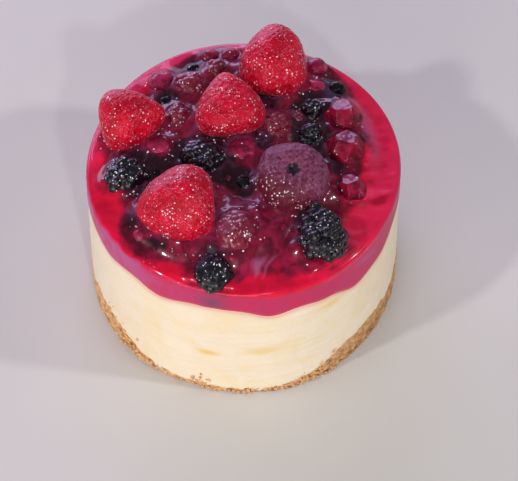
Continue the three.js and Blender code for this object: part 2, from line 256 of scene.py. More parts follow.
def sphere(rows, columns):
    """Unit directions on a grid of latitude and longitude, from the -Z pole to the +Z pole."""
    rise = np.linspace(-np.pi / 2, np.pi / 2, rows)[:, None]
    turn = np.linspace(0, 2 * np.pi, columns, endpoint=False)[None, :]
    return np.stack([np.cos(rise) * np.cos(turn), np.cos(rise) * np.sin(turn), np.sin(rise) + 0 * turn], -1)


def spiral(count):
    """Directions spread evenly over a sphere on a spiral: equal steps of height, and of the golden angle."""
    i = np.arange(count)
    z = 1 - (2 * i + 1) / count
    r = np.sqrt(1 - z * z)
    turn = np.pi * (3 - math.sqrt(5)) * i
    return np.stack([r * np.cos(turn), r * np.sin(turn), z], -1)


def facing(points, way):
    """How far a skin faces a way, from -1 to 1: the cosine between the way and the skin's normal, which is
    the cross product of the steps along the grid's rows and columns."""
    around = np.roll(points, -1, 1) - np.roll(points, 1, 1)
    normal = np.cross(around, np.gradient(points, axis=0))
    length = np.linalg.norm(normal, axis=-1) * np.linalg.norm(way)
    return normal @ np.array(way) / np.maximum(length, 1e-9)


# ------------------------------------------------------------------ from a grid of points to a piece


def skin(name, points, values, material):
    """A mesh of closed skins, from one grid of points in millimetres or from many grids of one size. The
    first and last rows of a grid are each one point, between them every row is a ring, and neighbouring rings
    are joined by quads. values holds a number for each point under a name that the material reads."""
    count, rows, columns = math.prod(points.shape[:-3]), points.shape[-3] - 2, points.shape[-2]
    grids = points.reshape(count, rows + 2, columns, 3)

    def flat(grid):
        rings = grid[:, 1:-1].reshape(count, rows * columns, *grid.shape[3:])
        return np.concatenate([grid[:, :1, 0], rings, grid[:, -1:, 0]], 1)

    ring = np.arange(columns)
    beside = (ring + 1) % columns
    starts = 1 + columns * np.arange(rows)[:, None]
    last = 1 + columns * rows
    quads = np.stack([starts[:-1] + ring, starts[:-1] + beside, starts[1:] + beside, starts[1:] + ring], -1)
    low = np.stack([0 * ring, 1 + beside, 1 + ring], -1)
    high = np.stack([starts[-1] + ring, starts[-1] + beside, 0 * ring + last], -1)
    one = np.concatenate([quads.reshape(-1), low.reshape(-1), high.reshape(-1)])
    loops = (one + (last + 1) * np.arange(count)[:, None]).reshape(-1)
    sizes = np.tile(np.concatenate([np.full(quads.size // 4, 4), np.full(2 * columns, 3)]), count)

    mesh = bpy.data.meshes.new(name)
    mesh.vertices.add((last + 1) * count)
    mesh.vertices.foreach_set("co", (flat(grids) * MM).astype(np.float32).reshape(-1))
    mesh.loops.add(len(loops))
    mesh.loops.foreach_set("vertex_index", loops.astype(np.int32))
    mesh.polygons.add(len(sizes))
    mesh.polygons.foreach_set("loop_start", (np.cumsum(sizes) - sizes).astype(np.int32))
    mesh.polygons.foreach_set("use_smooth", np.ones(len(sizes), bool))
    for key, value in values.items():
        numbers = flat(value.reshape(count, rows + 2, columns)).astype(np.float32).reshape(-1)
        mesh.attributes.new(key, "FLOAT", "POINT").data.foreach_set("value", numbers)
    mesh.update(calc_edges=True)
    mesh.validate()
    mesh.materials.append(material)
    made = bpy.data.objects.new(name, mesh)
    bpy.context.scene.collection.objects.link(made)
    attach(made, "root")
    return made


# ------------------------------------------------------------------ materials


def colour(code):
    """An sRGB hex colour as the linear colour that a shader takes."""
    srgb = np.array([int(code[i : i + 2], 16) for i in (1, 3, 5)]) / 255
    linear = np.where(srgb <= 0.04045, srgb / 12.92, ((srgb + 0.055) / 1.055) ** 2.4)
    return (*linear.tolist(), 1.0)


def add(tree, kind, inputs, out=0, **settings):
    """Adds a shader node with its settings and its inputs, and gives one of its outputs. An input is a
    number, a hex colour, another node's output, or the name under which a mesh holds a number for each
    point."""
    made = tree.nodes.new("ShaderNode" + kind)
    for key, value in settings.items():
        setattr(made, key, value)
    for key, value in inputs.items():
        if isinstance(value, str) and not value.startswith("#"):
            value = add(tree, "Attribute", {}, "Fac", attribute_name=value)
        if isinstance(value, bpy.types.NodeSocket):
            tree.links.new(value, made.inputs[key])
        else:
            made.inputs[key].default_value = colour(value) if isinstance(value, str) else value
    return made.outputs[out] if made.outputs else None


def lay(tree, ground, *coats):
    """Lays coats of colour over a ground, one over the other. A coat is its colour and its share, and may end
    with the two values of the share between which it fades in, with a smooth start and end."""
    for over, share, *fade in coats:
        if fade:
            inputs = {"Value": share, "From Min": fade[0], "From Max": fade[1]}
            share = add(tree, "MapRange", inputs, interpolation_type="SMOOTHSTEP")
        ground = add(tree, "Mix", {0: share, 6: ground, 7: over}, 2, data_type="RGBA")
    return ground


def cloud(tree, size_mm, detail=3.0, roughness=0.55, distortion=0.0):
    """A pattern from 0 to 1 of noise fixed in the object, whose blotches are about size_mm wide."""
    inputs = {"Vector": add(tree, "TexCoord", {}, "Object"), "Scale": 1 / (size_mm * MM)}
    inputs |= {"Detail": detail, "Roughness": roughness, "Distortion": distortion}
    return add(tree, "TexNoise", inputs, "Fac")


def specks(tree, cell_mm, size_mm, share, clump_mm):
    """Ragged dots: the middles of the cells of a random pattern that a noise has bent. About a share of them
    is kept, more of them in clumps about clump_mm wide."""
    here = add(tree, "TexCoord", {}, "Object")
    bend = add(tree, "TexNoise", {"Vector": here, "Scale": 1.2 / (cell_mm * MM)}, "Color")
    bent = add(tree, "VectorMath", {0: bend, 1: (cell_mm * MM,) * 3, 2: here}, operation="MULTIPLY_ADD")
    inputs = {"Vector": bent, "Scale": 1 / (cell_mm * MM), "Randomness": 1.0}
    distance = add(tree, "TexVoronoi", inputs, "Distance")
    inputs = {"Value": distance, "From Min": size_mm / cell_mm, "From Max": 0.5 * size_mm / cell_mm}
    dot = add(tree, "MapRange", inputs, interpolation_type="SMOOTHSTEP")
    draw = add(tree, "SeparateColor", {"Color": distance.node.outputs["Color"]}, "Red")
    clumps = {"Value": cloud(tree, clump_mm, 2.0), "From Min": 0.4, "From Max": 0.65, "To Max": 2 * share}
    kept = add(tree, "Math", {0: draw, 1: add(tree, "MapRange", clumps)}, operation="LESS_THAN")
    return add(tree, "Math", {0: dot, 1: kept}, operation="MULTIPLY")


def new_material(name):
    """A material with no nodes yet, and its node tree."""
    material = bpy.data.materials.new(name)
    material.use_nodes = True
    material.node_tree.nodes.clear()
    return material, material.node_tree


def shade(tree, inputs):
    """Ends a material in a Principled shader."""
    add(tree, "OutputMaterial", {"Surface": add(tree, "BsdfPrincipled", inputs, "BSDF")})


def jelly_on_top(tree):
    """Clear reds with a painted pinker sheen beside the rim and strokes of darker and paler red, then wine
    red stain and near black ink round the fruit, painted shade low between the berries, a painted milky lilac
    reflection, a painted pale reflection in an arc, a painted lilac sheen on the fold, the mist at the back,
    and painted glints."""
    bright = cloud(tree, 11.0, 2.0, distortion=1.2)
    wine = lay(tree, "#5a061f", ("#92103a", cloud(tree, 5.0, distortion=0.8), 0.35, 0.7))
    uneven = add(tree, "MapRange", {"Value": cloud(tree, 6.0, 4.0, 0.6), "To Min": -0.8, "To Max": 0.8})
    # the third of these is painted shade low between the berries
    stain, ink, deep = (
        add(tree, "Math", {0: name, 1: uneven}, operation="ADD") for name in ("stain", "ink", "deep")
    )
    patterns = {
        "lilac_film_sheen": cloud(tree, 4.5, 2.0, distortion=1.5),
        "arc_sheen": cloud(tree, 5.0, distortion=1.0),
        "mist": cloud(tree, 3.0, distortion=1.0),
        "glint_places": specks(tree, 1.1, 0.38, 0.14, 6.0),
    }
    film, arc, mist, glint = (
        add(tree, "Math", {0: name, 1: pattern}, operation="MULTIPLY") for name, pattern in patterns.items()
    )
    coats = [
        ("#e80a3c", bright, 0.35, 0.7),
        # a painted pinker sheen beside the rim
        ("#dc2e62", "rim_sheen"),
        ("#a00428", "dark_streak"),
        ("#ea3c6a", "pale_streak"),
        (wine, stain, 0.1, 0.9),
        ("#2a0616", ink, 0.3, 1.0),
        # painted shade low between the berries
        ("#34040f", deep, 0.4, 1.3),
        # a painted milky lilac reflection among the berries
        ("#80486e", film, 0.15, 0.8),
        # a painted pale reflection in an arc
        ("#b0527e", arc, 0.1, 0.9),
        # a painted lilac sheen along the fold, in fine lines
        ("#a8608e", "fold", 0.2, 1.4),
        ("#5c4c74", mist, 0.1, 0.8),
        # painted glints where the jelly climbs and along the rim
        ("#f6eaf4", glint),
    ]
    return lay(tree, "#c80430", *coats)


def jelly_at_side(tree):
    """Pink and milky over the cream, with a painted lilac reflection in places, redder and then paler where
    it ends, and with the dark image of a black berry."""
    coats = [
        ("#b65e96", "lilac"),
        ("#c92c58", cloud(tree, 8.0, distortion=1.0), 0.4, 0.75),
        ("#da4658", "hem"),
        ("#eaa496", "edge"),
        ("#6d4a68", "dark_image_and_sheen"),
    ]
    return lay(tree, "#be3262", *coats)


def berry_jelly():
    """Red berry juice set with gelatin and poured level: clear, deep and wet. At the side, thin over the
    cream, it is pink and milky. Between the berries their dark juice has stained it wine red, and near black
    beside the black ones."""
    material, tree = new_material("set_berry_jelly")
    soft = {"Height": cloud(tree, 3.4, 2.0, distortion=0.4), "Distance": 0.1 * MM, "Strength": 0.4}
    shade(tree, {
        "Base Color": lay(tree, jelly_on_top(tree), (jelly_at_side(tree), "side")),
        "Roughness": add(tree, "MapRange", {"Value": "side", "To Min": 0.25, "To Max": 0.38}),
        "IOR": 1.36,
        "Specular IOR Level": 0.15,
        "Normal": add(tree, "Bump", soft),
        "Coat Weight": add(tree, "MapRange", {"Value": "dull", "To Min": 0.55, "To Max": 0.1}),
        "Coat Roughness": 0.04,
    })
    return material


def strawberry_skin():
    """Strawberry skin that has thawed in syrup: waxy crimson and soft, with a pale painted sheen on what
    faces the lamp behind, and painted glints as pink and white dots. Real glints, about a third of a
    millimetre, are too fine to show, so the dots are drawn twice as coarse."""
    material, tree = new_material("strawberry_skin")
    painted_sheen = add(tree, "Math", {0: "painted_sheen", 1: cloud(tree, 0.7, roughness=0.7)}, operation="MULTIPLY")
    # a pale painted sheen on what faces the lamp behind, and painted glints as pink and white specks
    body = lay(
        tree, "#a8021c", ("#d4082e", cloud(tree, 5.0), 0.35, 0.7), ("#cc1c44", cloud(tree, 0.8), 0.48, 0.78),
        ("#c04434", "seed", 0.7, 0.95), ("#e0708e", painted_sheen, 0.1, 0.9),
        ("#dc5c7a", specks(tree, 0.55, 0.24, 0.6, 3.0)), ("#fbe4e8", specks(tree, 0.8, 0.32, 0.22, 4.0)),
    )
    bumpy = add(tree, "Bump", {"Height": cloud(tree, 0.6), "Distance": 0.16 * MM, "Strength": 0.9})
    shade(tree, {
        "Base Color": body, "Roughness": 0.34, "IOR": 1.33, "Specular IOR Level": 0.35, "Normal": bumpy,
        "Sheen Weight": 0.3, "Sheen Roughness": 0.25, "Sheen Tint": "#ffc8e0",
    })
    return material


def thawed_skin():
    """A strawberry that has steeped among black fruit: dusty mauve, soft as velvet, with light and shade
    painted along its fine creases, an ink blue hull end, and a wet dark front with painted glints."""
    material, tree = new_material("thawed_strawberry_skin")
    wet = add(tree, "Math", {0: "blush", 1: cloud(tree, 4.0, 4.0, 0.6)}, operation="ADD")
    # painted glints on the wet front
    glint = add(tree, "Math", {0: specks(tree, 0.9, 0.36, 0.45, 3.0), 1: "blush"}, operation="MULTIPLY")
    body = lay(
        tree, "#50122e", ("#7a2a4c", cloud(tree, 2.2, 4.0, 0.6, 0.6), 0.35, 0.7),
        # paler on the creases' ridges and darker between them, as painted light and shade
        ("#8a4668", "crease", -0.8, 1.4), ("#94587a", cloud(tree, 0.8, 4.0, 0.6), 0.45, 0.8),
        ("#5c0c26", wet, 0.5, 1.4), ("#120a1c", "hull", 0.3, 0.6), ("#fff0f4", glint),
    )
    inputs = {"Height": cloud(tree, 0.8, 4.0, 0.6, 1.0), "Distance": 0.25 * MM, "Strength": 0.9}
    shade(tree, {
        "Base Color": body, "Roughness": 0.42, "IOR": 1.36, "Normal": add(tree, "Bump", inputs),
        "Sheen Weight": 0.08, "Sheen Roughness": 0.3, "Sheen Tint": "#e0c0e0",
    })
    return material


def drupelet_skin(name, deep, lit_tops, dark_image_and_sheen, glint_share):
    """Tight wet skin over juice: nearly one colour, with painted shade in the clefts, a paler colour painted
    on the drupelets' tops as painted light, a painted lilac sheen on what faces the lamp behind, a sharp wet
    gloss and a few painted glints."""
    material, tree = new_material(name)
    sheen_share = add(tree, "Math", {0: "dark_image_and_sheen", 1: cloud(tree, 2.6)}, operation="MULTIPLY")
    glint_dots = specks(tree, 0.9, 0.3, glint_share, 5.0)
    # painted shade in the clefts, painted light on the swelling tops, a painted sheen and painted glints
    body = lay(tree, deep, (lit_tops, "swell", 0.0, 0.8), (dark_image_and_sheen, sheen_share, 0.1, 0.8), ("#f8f2fa", glint_dots))
    bumpy = add(tree, "Bump", {"Height": cloud(tree, 0.8), "Distance": 0.12 * MM, "Strength": 0.6})
    shade(tree, {
        "Base Color": body, "Roughness": 0.25, "IOR": 1.33, "Normal": bumpy,
        "Coat Weight": 0.5, "Coat Roughness": 0.03,
    })
    return material


def stewed_skin(name, dark, bright, bloom_and_sheen):
    """A stewed berry full of juice: glassy skin, blotched darker and paler, with a greyer painted reflection
    on a flat top, and a few painted glints."""
    material, tree = new_material(name)
    body = lay(
        tree, dark, (bright, cloud(tree, 3.5), 0.35, 0.7),
        (bloom_and_sheen, cloud(tree, 1.8, distortion=1.5), 0.62, 0.82),
        # a painted reflection on a flat top, and painted glints
        ("#8e3a62", "bloom_and_sheen"), ("#f8eef4", specks(tree, 1.2, 0.34, 0.1, 5.0)),
    )
    bumpy = add(tree, "Bump", {"Height": cloud(tree, 2.6, 1.0), "Distance": 0.1 * MM, "Strength": 0.25})
    shade(tree, {
        "Base Color": body, "Roughness": 0.3, "IOR": 1.35, "Specular IOR Level": 0.2, "Normal": bumpy,
        "Coat Weight": 0.35, "Coat Roughness": 0.04,
    })
    return material


def set_cream():
    """Cheese cream set in a ring: ivory, satin, a little translucent, with yellow smears and fine drag
    marks."""
    material, tree = new_material("set_cheese_cream")
    dusty = add(tree, "Math", {0: "crumbed", 1: cloud(tree, 0.8, roughness=0.6)}, operation="ADD")
    body = lay(
        tree, "#f5e6cd", ("#f3e0b8", cloud(tree, 12.0, distortion=0.8), 0.4, 0.75),
        ("#f0cd7c", "smear", 0.1, 1.0), ("#eab0a0", "pink"), ("#c08a5c", dusty, 0.85, 1.3),
    )
    bumpy = add(tree, "Bump", {"Height": cloud(tree, 1.6, 4.0), "Distance": 0.2 * MM, "Strength": 0.5})
    shade(tree, {
        "Base Color": body, "Roughness": 0.5, "IOR": 1.45, "Normal": bumpy,
        "Subsurface Weight": 0.35, "Subsurface Radius": (0.003, 0.002, 0.0012), "Subsurface Scale": 0.5,
    })
    return material


def baked_crumb():
    """Biscuit crumb pressed with butter and baked: dry, matt, tan on the grains with painted shade in the
    gaps between them, and baked a little darker on the right."""
    material, tree = new_material("baked_crumb")
    # the dark ground in the gaps between grains is painted shade
    body = lay(
        tree, "#8e5e34", ("#eab880", "dome", 0.1, 0.8), ("#b98250", cloud(tree, 2.2, 4.0, 0.65), 0.45, 0.75),
        ("#f0d4ac", cloud(tree, 0.8, 2.0), 0.58, 0.72),
    )
    across = add(tree, "SeparateXYZ", {"Vector": add(tree, "TexCoord", {}, "Object")}, "X")
    body = lay(tree, body, (lay(tree, body, ("#8a5a34", 0.25)), across, -0.02, 0.04))
    bumpy = add(tree, "Bump", {"Height": cloud(tree, 0.6, 4.0, 0.7), "Distance": 0.3 * MM, "Strength": 0.9})
    shade(tree, {"Base Color": body, "Roughness": 0.85, "IOR": 1.45, "Normal": bumpy})
    return material


# ------------------------------------------------------------------ berries


def egg(berry, d):
    """An egg: width across and length along Z, narrower towards +Z by the taper."""
    across = (berry.width / 2) * (1 - berry.taper * d[..., 2])
    return np.stack([d[..., 0] * across, d[..., 1] * berry.flat * across, d[..., 2] * berry.length / 2], -1)


SHEEN_WAY = (-0.45, 0.6, 0.66)  # painted sheen of the lamp behind shows most on what faces this way
HULL_DENT = {"depth": 0.1, "radius": 0.22}
SEED = {"spacing": 2.6, "radius": 0.36, "height": 0.2}
PIT = {"radius": 0.75, "depth": 0.3}


def strawberry_form(berry, rows, columns):
    """An egg with a dent at the hull end, a bell curve of the distance from the axis, and with soft lumps.
    Returns the directions of its points, the points, and how near each is to the hull."""
    d = sphere(rows, columns)
    p = egg(berry, d)
    from_axis = np.hypot(p[..., 0], p[..., 1]) / (HULL_DENT["radius"] * berry.width)
    p[..., 2] += np.where(d[..., 2] < 0, HULL_DENT["depth"] * berry.length * bell(from_axis), 0)
    p *= 1 + 0.018 * ripple(p, 9.0, berry.seed)[..., None]
    return d, p, np.where(d[..., 2] < 0, bell(2.2 * from_axis), 0)


def strawberry(berry):
    """Seeds in pits on a spiral. Each point sinks by a bell curve of its distance to the nearest seed, and
    rises again by a narrower one for the seed itself."""
    d, p, _ = strawberry_form(berry, 170, 240)
    area = np.pi * berry.width * berry.length
    near = np.full(d.shape[:2], 9.0)
    for seed in egg(berry, spiral(int(area / SEED["spacing"] ** 2))):
        near = np.minimum(near, np.linalg.norm(p - seed, axis=-1))
    pit, bead = bell(near / PIT["radius"]), bell(near / SEED["radius"])
    grain = 0.09 * ripple(p, 1.5, berry.seed + 50)
    p += d * (SEED["height"] * bead - PIT["depth"] * pit + grain)[..., None]
    placed = berry.in_cake(p)
    # the second value marks where the skin faces the lamp behind, for the painted sheen
    return placed, {"seed": bead, "painted_sheen": smoothstep(facing(placed, SHEEN_WAY), 0.6, 1.05)}


CREASE_STRETCH = np.array([1, 1, 0.28])  # the creases are drawn out along the berry
SHOULDER = {"way": (-0.62, 0.45, 0.64), "reach": 0.3, "bulge": 0.9}
WET_WAY = (-0.5, -0.85, -0.1)  # the dark berry is wet on the side that faces this way


def thawed_strawberry(berry):
    """A strawberry without its seeds. Fine creases, a ripple drawn out along the berry, run down its sides,
    the hull's edge swings with the turn like a star, and one shoulder bulges by a bell curve."""
    d, p, hull = strawberry_form(berry, 170, 300)
    creases = ripple(p * CREASE_STRETCH, 1.7, berry.seed, 15) + 0.5 * ripple(p, 1.1, berry.seed + 5, 15)
    bulge = bell(np.linalg.norm(d @ berry.turn.T - SHOULDER["way"], axis=-1) / SHOULDER["reach"])
    uneven = 0.07 * creases + 0.14 * ripple(p, 2.4, berry.seed + 3)
    p += d * (uneven - 0.5 * hull + SHOULDER["bulge"] * bulge)[..., None]
    turn = np.arctan2(d[..., 1], d[..., 0])
    star = hull * (1 + 0.25 * np.cos(5 * turn) + 0.3 * ripple(d, 0.1, berry.seed + 7))
    placed = berry.in_cake(p)
    toward = (placed - berry.middle) @ np.array(WET_WAY) / berry.width
    return placed, {"hull": star, "crease": creases, "blush": smoothstep(toward, 0.02, 0.5)}


DRUPELET_COVER = 2.3  # drupelets for each square of their spacing in the fruit's width times its length
DRUPELET_RADIUS = 0.62  # as a share of their spacing
LEAST_SHARE, MOST_SHARE = 0.66, 1.0  # the share of the egg that is filled, with no film and with a full one
LARGE_FRUIT = 12.0  # a fruit wider than this has the finer grid
ROWS = {"large": 130, "small": 80}


def drupelet_fruit(berry):
    """Many small balls on a spiral round an egg. The skin is where a ray from the middle leaves the last
    ball: the ball's distance along the ray, plus the root of what is left of its radius there. A film of
    juice fills the clefts: the skin is the soft maximum, a log of a sum of exponentials, of that and of a
    share of the egg."""
    rows = ROWS["large" if berry.width > LARGE_FRUIT else "small"]
    d = sphere(rows, int(1.5 * rows))
    radius = DRUPELET_RADIUS * berry.drupelet
    count = round(DRUPELET_COVER * berry.width * berry.length / berry.drupelet**2)
    ways = spiral(count)
    across = (berry.width / 2 - radius) * (1 - berry.taper * ways[:, 2])
    middles = ways * np.stack([across, across, np.full(count, berry.length / 2 - radius)], -1)
    draw = np.random.default_rng(berry.seed)
    middles *= draw.uniform(0.9, 1.02, count)[:, None]
    middles += draw.normal(0, 0.11 * berry.drupelet, middles.shape)
    sizes = radius * draw.uniform(0.88, 1.1, count)
    along = d @ middles.T
    square = sizes**2 - (middles**2).sum(-1) + along**2
    reach = np.where(square > 0, along + np.sqrt(np.maximum(square, 0)), 0)
    second, first = np.moveaxis(np.sort(reach, -1)[..., -2:], -1, 0)
    # how far a drupelet stands out; the skin paints the tops paler and the clefts darker, as painted light
    # and shade
    swell = np.clip((first - second) / (0.25 * berry.drupelet) + 0.6 * berry.film, 0, 1)
    filled = np.linalg.norm(egg(berry, d), axis=-1) * mix(LEAST_SHARE, MOST_SHARE, berry.film)
    sharpness = mix(9.0, 3.0, berry.film)
    skin_at = np.log(np.exp(sharpness * first) + np.exp(sharpness * filled)) / sharpness
    placed = berry.in_cake(d * skin_at[..., None])
    # the second value marks where the skin faces the lamp behind, for the painted sheen
    return placed, {"swell": swell, "dark_image_and_sheen": smoothstep(facing(placed, SHEEN_WAY), 0.3, 1.0)}


def currant(berry):
    """A ball a little flat from tip to stalk, with soft dents and pleats that meet at the tip."""
    d = sphere(56, 84)
    p = egg(berry, d)
    turn = np.arctan2(d[..., 1], d[..., 0])
    pleats = np.cos((5 + berry.seed % 3) * turn + 2 * ripple(d, 1.0, berry.seed))
    pleats *= np.cos(np.arcsin(d[..., 2])) ** 2
    p *= 1 + (0.03 * pleats + 0.035 * ripple(d, 0.9, berry.seed + 1))[..., None]
    return berry.in_cake(p), {}


# the pressed sides of a cherry: the heading and tilt that each faces, and how far out it is as a share of the
# radius; the first is the broad one on top, which leans back
FLATS = [
    (95, 70, 0.78), (-80, 52, 0.82), (-22, 34, 0.84), (32, 30, 0.82),
    (84, 12, 0.86), (150, 28, 0.84), (-152, 32, 0.82), (-100, 8, 0.88),
]
FLAT_SHARPNESS = 42
TOP_SHEEN_WAY = (0.0, 0.35, 0.94)  # a flat that faces this way gets a painted paler reflection


def cherry(berry):
    """A ball pressed flat on a few sides. Along a ray the skin is at the nearest flat, and where two are
    about as near, a soft minimum rounds the edge between them."""
    d = sphere(90, 130)
    heading, tilt, reach = np.array(FLATS).T
    turn, rise = np.radians(heading + berry.heading), np.radians(tilt)
    toward = d @ np.stack([np.cos(rise) * np.cos(turn), np.cos(rise) * np.sin(turn), np.sin(rise)])
    reaches = np.where(toward > 0.05, reach / np.maximum(toward, 0.05), 9.0)
    reaches = np.concatenate([reaches, np.ones((*d.shape[:2], 1))], -1)
    soft = -np.log(np.exp(-FLAT_SHARPNESS * reaches).sum(-1)) / FLAT_SHARPNESS
    p = egg(berry, d) * soft[..., None]
    p += d * (0.1 * ripple(p, 3.5, berry.seed) + 0.02 * ripple(p, 1.6, berry.seed + 1))[..., None]
    placed = berry.in_cake(p)
    # the value marks the flat on top for a painted reflection
    return placed, {"bloom_and_sheen": 0.6 * smoothstep(facing(placed, TOP_SHEEN_WAY), 0.86, 0.99)}


def make_berries():
    """Every berry, in its kind's form and skin, in place of the solid that has its name."""
    # each takes the colour of the clefts, darker as painted shade, of the tops, paler as painted light, of
    # the painted sheen, and the share of painted glints
    bramble_skin = drupelet_skin("bramble_skin", "#040207", "#0f0a14", "#4c4264", 0.2)
    raspberry_skin = drupelet_skin("raspberry_skin", "#4a0a1e", "#7c1a34", "#a0607e", 0.28)
    cherry_skin = stewed_skin("stewed_cherry_skin", "#5a071c", "#a4143c", "#a84a76")
    red_skin = stewed_skin("stewed_currant_skin", "#6a0c2c", "#b4285a", "#c478a0")
    black_skin = stewed_skin("black_currant_skin", "#050308", "#0e0a14", "#221c2c")
    kinds = {
        "strawberry": (strawberry, strawberry_skin(), "strawberry"),
        "dark strawberry": (thawed_strawberry, thawed_skin(), "dark_strawberry"),
        "bramble": (drupelet_fruit, bramble_skin, "bramble"),
        "raspberry": (drupelet_fruit, raspberry_skin, "raspberry"),
        "cherry": (cherry, cherry_skin, "cherry"),
        "red currant": (currant, red_skin, "red_currant"),
        "black currant": (currant, black_skin, "black_currant"),
    }
    for berry in BERRIES:
        make, material, slot = kinds[berry.kind]
        node = berry.name
        points, values = make(berry)
        made = skin(node + "_fruit", points, values, material)
        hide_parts(node)


# ------------------------------------------------------------------ layers


def side_radius(angle, z):
    """The side spreads a little to the foot and isn't quite round."""
    return CAKE_RADIUS - 0.3 + swing(SIDE_WAVES, angle) + FOOT_FLARE * (1 - z / CAKE_HEIGHT)


def crumb_top(angle):
    """The upper edge of the crumb at the side. It drops where cream has run down over it."""
    shown = smoothstep(turn_from(angle, CREAM_RUN["middle"]), CREAM_RUN["full"], CREAM_RUN["end"])
    return mix(CRUMB_FOOT, CRUMB_THICKNESS + swing(CRUMB_WAVES, angle), shown)


def cream_top(angle):
    """The upper edge of the cream at the side. The jelly hangs over it in broad drops, each a bell curve."""
    drops = sum(deep * close_to(angle, at, wide) for at, wide, deep in JELLY_DROPS)
    return CAKE_HEIGHT - JELLY_THICKNESS["side"] - drops


def way_round(columns):
    """Angles in equal steps round the cake, as one row."""
    return np.linspace(0, 360, columns, endpoint=False)[None, :]


def round_grid(angle, radius, z):
    """Points from cylinder coordinates. Each row is a ring, and the first and last rows are on the axis."""
    turn, radius, z = np.broadcast_arrays(np.radians(angle), radius, z)
    return np.stack([radius * np.cos(turn), radius * np.sin(turn), z], -1)


# the rows between the axis and the side that lie on another layer, as shares of the radius
UNSEEN = np.array([0.0, 0.5, 0.9])[:, None]


def padded(value, before, after=0):
    """Painted values of a layer's rows that show, with 0 for the rows before and after them."""
    return np.pad(value, ((before, after), (0, 0)))


def crowd(points, reach, kinds=None):
    """How many berries are close to a place: the sum over them of a bell curve of the distance from their
    eggs."""
    berries = [berry for berry in BERRIES if kinds is None or berry.kind in kinds]
    return sum(bell(np.maximum(berry.outside(points), 0) / reach) for berry in berries)


# how high the jelly climbs a berry of each kind, as a share of what stands out of the jelly, and how far it
# reaches out, as a share of the berry's width
CLIMB = {
    "strawberry": (0.14, 0.16), "dark strawberry": (0.2, 0.18), "bramble": (0.2, 0.17),
    "raspberry": (0.42, 0.25), "cherry": (0.15, 0.25), "red currant": (0.5, 0.3), "black currant": (0.2, 0.3),
}
LEAST_CLIMB = 0.5
LOOKS = 6  # how often the height is taken again


def climb(points):
    """How far the jelly climbs the fruit. At each berry it is highest and falls off with distance by an
    exponential, and the climbs are joined by the cube root of the sum of their cubes, which is a soft
    maximum. The distance is taken at the height that the last look gave, so that the jelly leans against the
    berry's round side."""
    lifted = points.copy()
    for _ in range(LOOKS):
        cubes = 0
        for berry in BERRIES:
            up, out = CLIMB[berry.kind]
            stands_out = berry.middle[2] + berry.width / 2 - CAKE_HEIGHT - PILE_HEIGHT
            height = LEAST_CLIMB + up * max(stands_out, 0)
            beyond = np.maximum(berry.outside(lifted), 0) / (LEAST_CLIMB + out * berry.width)
            cubes += (height * np.exp(-(beyond**1.3))) ** 3
        lifted[..., 2] = mix(lifted[..., 2], points[..., 2] + np.cbrt(cubes), 0.7)
    return lifted[..., 2] - points[..., 2]


# the fold of jelly that runs out between the front berries: its two ends, as x and y
FOLD = ((3.0, -44.0), (15.0, -27.0))


def fold(points):
    """How near points are to the fold's length, from 0 to 1, and how far along the line between its ends and
    to the side of it they are, in millimetres."""
    start, end = np.array(FOLD)
    length = np.linalg.norm(end - start)
    way = (end - start) / length
    along = (points[..., :2] - start) @ way
    aside = (points[..., :2] - start) @ np.array([way[1], -way[0]])
    return smoothstep(along, -3, 3) * smoothstep(along, length + 2, length - 3), along, aside


# places on the jelly; one on the way round is an angle and a half width, in degrees
LEVEL_BACK = (130, 30)  # the top stays level further in
DULL_BACK = (130, 32)  # less gloss beside the rim
ROSY_RIGHT = (-5, 45)  # a rosier painted sheen beside the rim
BRUSHED_RIGHT = (-16, 34)  # darker and paler streaks beside the rim
LILAC_LEFT, LILAC_RIGHT = (-155, 30), (-38, 18)  # a painted milky lilac reflection on the side
PALE_ARC = (16, 26)  # a painted pale reflection in an arc on the top
RIM_DASHES = (-124, 9)  # a row of painted glints on the rim
RIM_SINK = {"place": (-62.0, 26.0), "depth": 2.4}  # the clear red of the top reaches down the side
MIST = {"place": (29.3, 28.0), "radius": 5.0}  # a grey haze among the berries
DARK_IMAGE = {"place": (-10.0, -49.3, 50.5), "radius": 4.2}  # of the bramble on the rim, in the side
BRUSH = np.array([0.3, 1.0, 1.0])  # the streaks are drawn out along X

# where the dark juice has run out further among the front berries, or less far: x, y, the half widths along x
# and y, and how much
SPILLS = [
    (15, -31, 9, 8, 0.9), (8, -40, 11, 5.5, 1.2), (-18, -35, 14, 5, 0.5), (-40, -22, 7, 9, -0.2),
    (40, -9, 5, 10, -0.7), (39, 20, 5, 8, -0.6), (-9, 47, 9, 3.5, -0.8), (-31, 33, 7, 6, -0.7),
]


def jelly_top(angle, radius):
    """The jelly's top. Inside the rim it is piled up where berries crowd, by 1 less an exponential of the
    crowd, and swells softly among them by a sum of ripples and along the fold by a bell curve. Then it climbs
    each berry. Returns its points, how far they are among the berries, how close to one, and how far they
    climb one."""
    surface = round_grid(angle, radius, CAKE_HEIGHT)
    lifted = surface + np.array([0, 0, 1.0])
    among = smoothstep(crowd(lifted, 5.0), 0.9, 1.9)
    packed = 1 - np.exp(-crowd(lifted, 1.35 * PILE_REACH))
    near_fold, _, aside = fold(surface)
    swells = 0.4 * ripple(surface, 9.0, 21) + 0.2 * ripple(surface, 4.2, 22) + 0.02 * ripple(surface, 1.9, 24)
    swells = swells + 0.7 * near_fold * bell(aside / 1.8)
    from_rim = CAKE_RADIUS - radius
    margin = 3.5 * close_to(angle, *LEVEL_BACK)
    inside = smoothstep(from_rim, 4 + margin, 12 + margin)
    surface[..., 2] += inside * (packed * PILE_HEIGHT + among * swells + 0.08 * ripple(surface, 16.0, 23))
    climbed = climb(surface) * smoothstep(from_rim, 0.6, 3)
    surface[..., 2] += climbed
    return surface, among, packed, climbed


